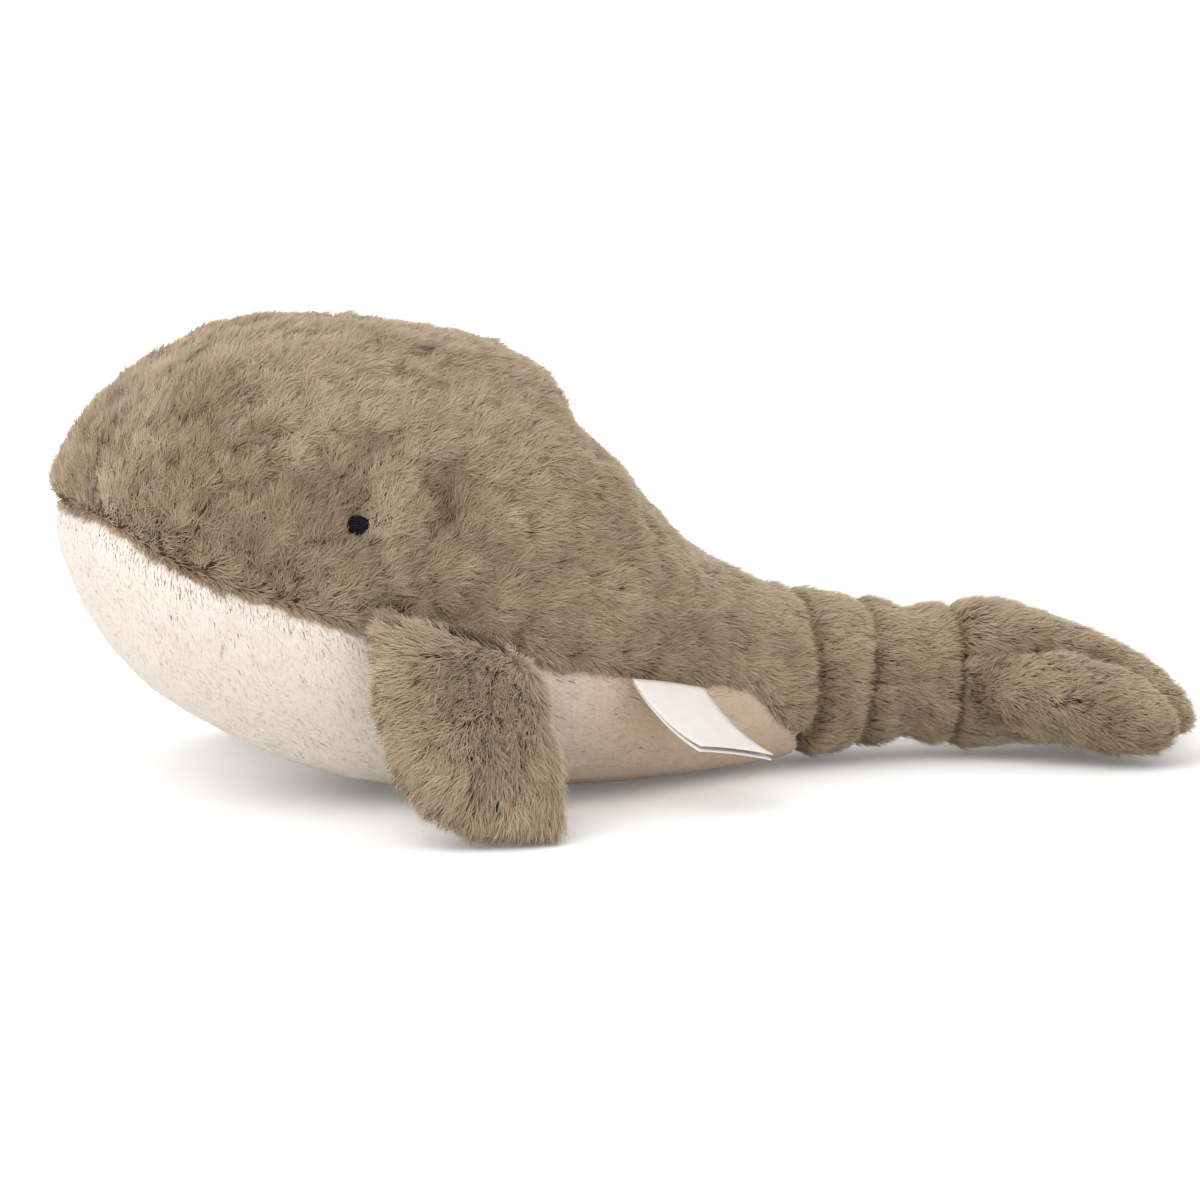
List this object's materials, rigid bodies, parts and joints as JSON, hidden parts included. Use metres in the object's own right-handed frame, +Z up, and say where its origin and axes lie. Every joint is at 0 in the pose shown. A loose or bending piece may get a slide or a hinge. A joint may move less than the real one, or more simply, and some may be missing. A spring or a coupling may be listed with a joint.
{
  "type": "plush whale",
  "caption": "Stuffed toy whale with a round head, pale belly, side fins, a gathered tail that bends at its folds, and a fat two-lobed fluke.",
  "frame": {"origin": "on the table, in the middle of the flat patch that the belly rests on", "axes": "+X along the trunk from the nose to the tail, +Z up, +Y to the toy's right"},
  "size_m": [0.3907, 0.2334, 0.159],
  "materials": {
    "taupe_plush": "short dense fur, mottled, matte",
    "cream_plush": "short dense fur, matte",
    "fibre_filling": "loose polyester fibre",
    "black_thread": "satin-stitched embroidery",
    "white_ribbon": "woven satin ribbon"
  },
  "bodies": {
    "trunk": {"left_back_panel": "taupe_plush", "right_back_panel": "taupe_plush", "belly_panel": "cream_plush", "trunk_stuffing": "fibre_filling", "left_eye": "black_thread", "right_eye": "black_thread"},
    "tail_root": {"tail_root_left_panel": "taupe_plush", "tail_root_right_panel": "taupe_plush", "tail_root_stuffing": "fibre_filling"},
    "tail_stock": {"tail_stock_left_panel": "taupe_plush", "tail_stock_right_panel": "taupe_plush", "tail_stock_stuffing": "fibre_filling"},
    "fluke": {"fluke_upper_panel": "taupe_plush", "fluke_lower_panel": "taupe_plush", "fluke_stuffing": "fibre_filling"},
    "left_fin": {"left_fin_outer_panel": "taupe_plush", "left_fin_inner_panel": "taupe_plush", "left_fin_stuffing": "fibre_filling"},
    "right_fin": {"right_fin_outer_panel": "taupe_plush", "right_fin_inner_panel": "taupe_plush", "right_fin_stuffing": "fibre_filling"},
    "label": {"label": "white_ribbon"}
  },
  "joints": [
    {"name": "tail_yaw", "type": "hinge", "parent": "trunk", "child": "tail_root", "pos_m": [0.07384, 0, 0.03], "axis": [0, 0, 1], "range_deg": [-20, 26], "stiffness_Nm_per_rad": 1.5},
    {"name": "tail_pitch", "type": "hinge", "parent": "tail_root", "child": "tail_stock", "pos_m": [0.0964, -0.00237, 0.0288], "axis": [-0.1045, -0.9945, 0], "range_deg": [-20, 22], "stiffness_Nm_per_rad": 1.5},
    {"name": "fluke_pitch", "type": "hinge", "parent": "tail_stock", "child": "fluke", "pos_m": [0.12868, -0.00923, 0.0268], "axis": [-0.2079, -0.9781, 0], "range_deg": [-20, 22], "stiffness_Nm_per_rad": 1},
    {"name": "left_fin_lift", "type": "hinge", "parent": "trunk", "child": "left_fin", "pos_m": [-0.0835, -0.0794, 0.05794], "axis": [-0.9737, 0, 0.2277], "range_deg": [-10, 70], "stiffness_Nm_per_rad": 0.15},
    {"name": "right_fin_lift", "type": "hinge", "parent": "trunk", "child": "right_fin", "pos_m": [-0.0835, 0.0794, 0.05794], "axis": [0.9737, 0, -0.2277], "range_deg": [-10, 70], "stiffness_Nm_per_rad": 0.15},
    {"name": "label_lift", "type": "hinge", "parent": "trunk", "child": "label", "pos_m": [-0.00161, -0.05689, 0.0404], "axis": [-0.881, -0.4208, 0.2163], "range_deg": [-35, 65], "stiffness_Nm_per_rad": 0.002}
  ]
}
